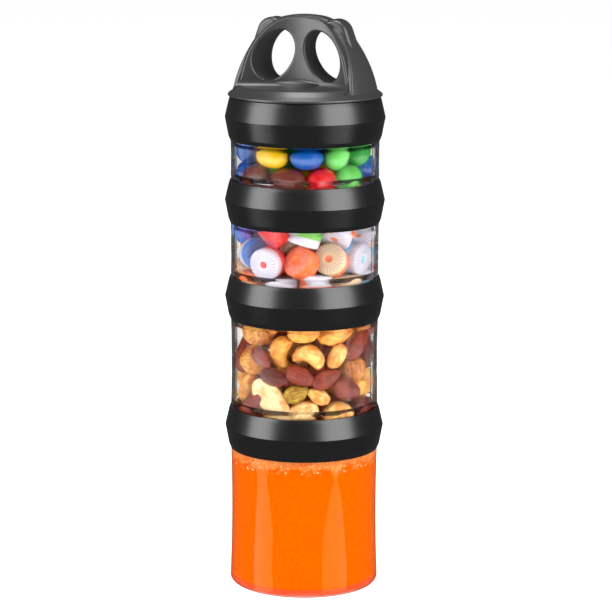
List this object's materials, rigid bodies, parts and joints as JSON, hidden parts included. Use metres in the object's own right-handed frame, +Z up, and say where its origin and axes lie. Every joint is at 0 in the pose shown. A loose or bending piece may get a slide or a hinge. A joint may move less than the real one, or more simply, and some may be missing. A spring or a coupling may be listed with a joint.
{
  "type": "stacking formula and snack dispenser",
  "caption": "Stack of clear twist-lock jars of growing depth with black double-cone collars, closed by a domed carry-handle lid with round ears and two finger holes.",
  "frame": {"origin": "centre of the bottom jar's foot, on the surface it stands on", "axes": "+Z up the stack, -Y out of the front face of the handle, +X through the handle's right-hand ear"},
  "size_m": [0.082, 0.082, 0.2961],
  "materials": {
    "clear_plastic": "clear polished copolyester",
    "collar_plastic": "satin black polypropylene",
    "handle_plastic": "satin charcoal polypropylene",
    "silicone": "translucent white silicone"
  },
  "bodies": {
    "bottom_unit": {"bottom_jar": "clear_plastic", "bottom_collar": "collar_plastic"},
    "lower_unit": {"lower_jar": "clear_plastic", "lower_collar": "collar_plastic"},
    "middle_unit": {"middle_jar": "clear_plastic", "middle_collar": "collar_plastic"},
    "top_unit": {"top_jar": "clear_plastic", "top_collar": "collar_plastic"},
    "lid": {"lid_plug": "handle_plastic", "lid_base": "handle_plastic", "handle_shell": "handle_plastic", "front_face": "handle_plastic", "rear_face": "handle_plastic"},
    "bottom_seal": {"bottom_seal": "silicone"},
    "lower_seal": {"lower_seal": "silicone"},
    "middle_seal": {"middle_seal": "silicone"},
    "top_seal": {"top_seal": "silicone"}
  },
  "joints": [
    {"name": "lower_unit_lift", "type": "slide", "parent": "bottom_unit", "child": "bottom_seal", "axis": [0, 0, 1], "range_m": [0, 0.05]},
    {"name": "lower_unit_twist", "type": "hinge", "parent": "bottom_seal", "child": "lower_unit", "pos_m": [0, 0, 0.0837], "axis": [0, 0, -1], "range_deg": [0, 45]},
    {"name": "middle_unit_lift", "type": "slide", "parent": "lower_unit", "child": "lower_seal", "axis": [0, 0, 1], "range_m": [0, 0.05]},
    {"name": "middle_unit_twist", "type": "hinge", "parent": "lower_seal", "child": "middle_unit", "pos_m": [0, 0, 0.1518], "axis": [0, 0, -1], "range_deg": [0, 45]},
    {"name": "top_unit_lift", "type": "slide", "parent": "middle_unit", "child": "middle_seal", "axis": [0, 0, 1], "range_m": [0, 0.05]},
    {"name": "top_unit_twist", "type": "hinge", "parent": "middle_seal", "child": "top_unit", "pos_m": [0, 0, 0.2017], "axis": [0, 0, -1], "range_deg": [0, 45]},
    {"name": "lid_lift", "type": "slide", "parent": "top_unit", "child": "top_seal", "axis": [0, 0, 1], "range_m": [0, 0.05]},
    {"name": "lid_twist", "type": "hinge", "parent": "top_seal", "child": "lid", "pos_m": [0, 0, 0.2442], "axis": [0, 0, -1], "range_deg": [0, 45]}
  ]
}
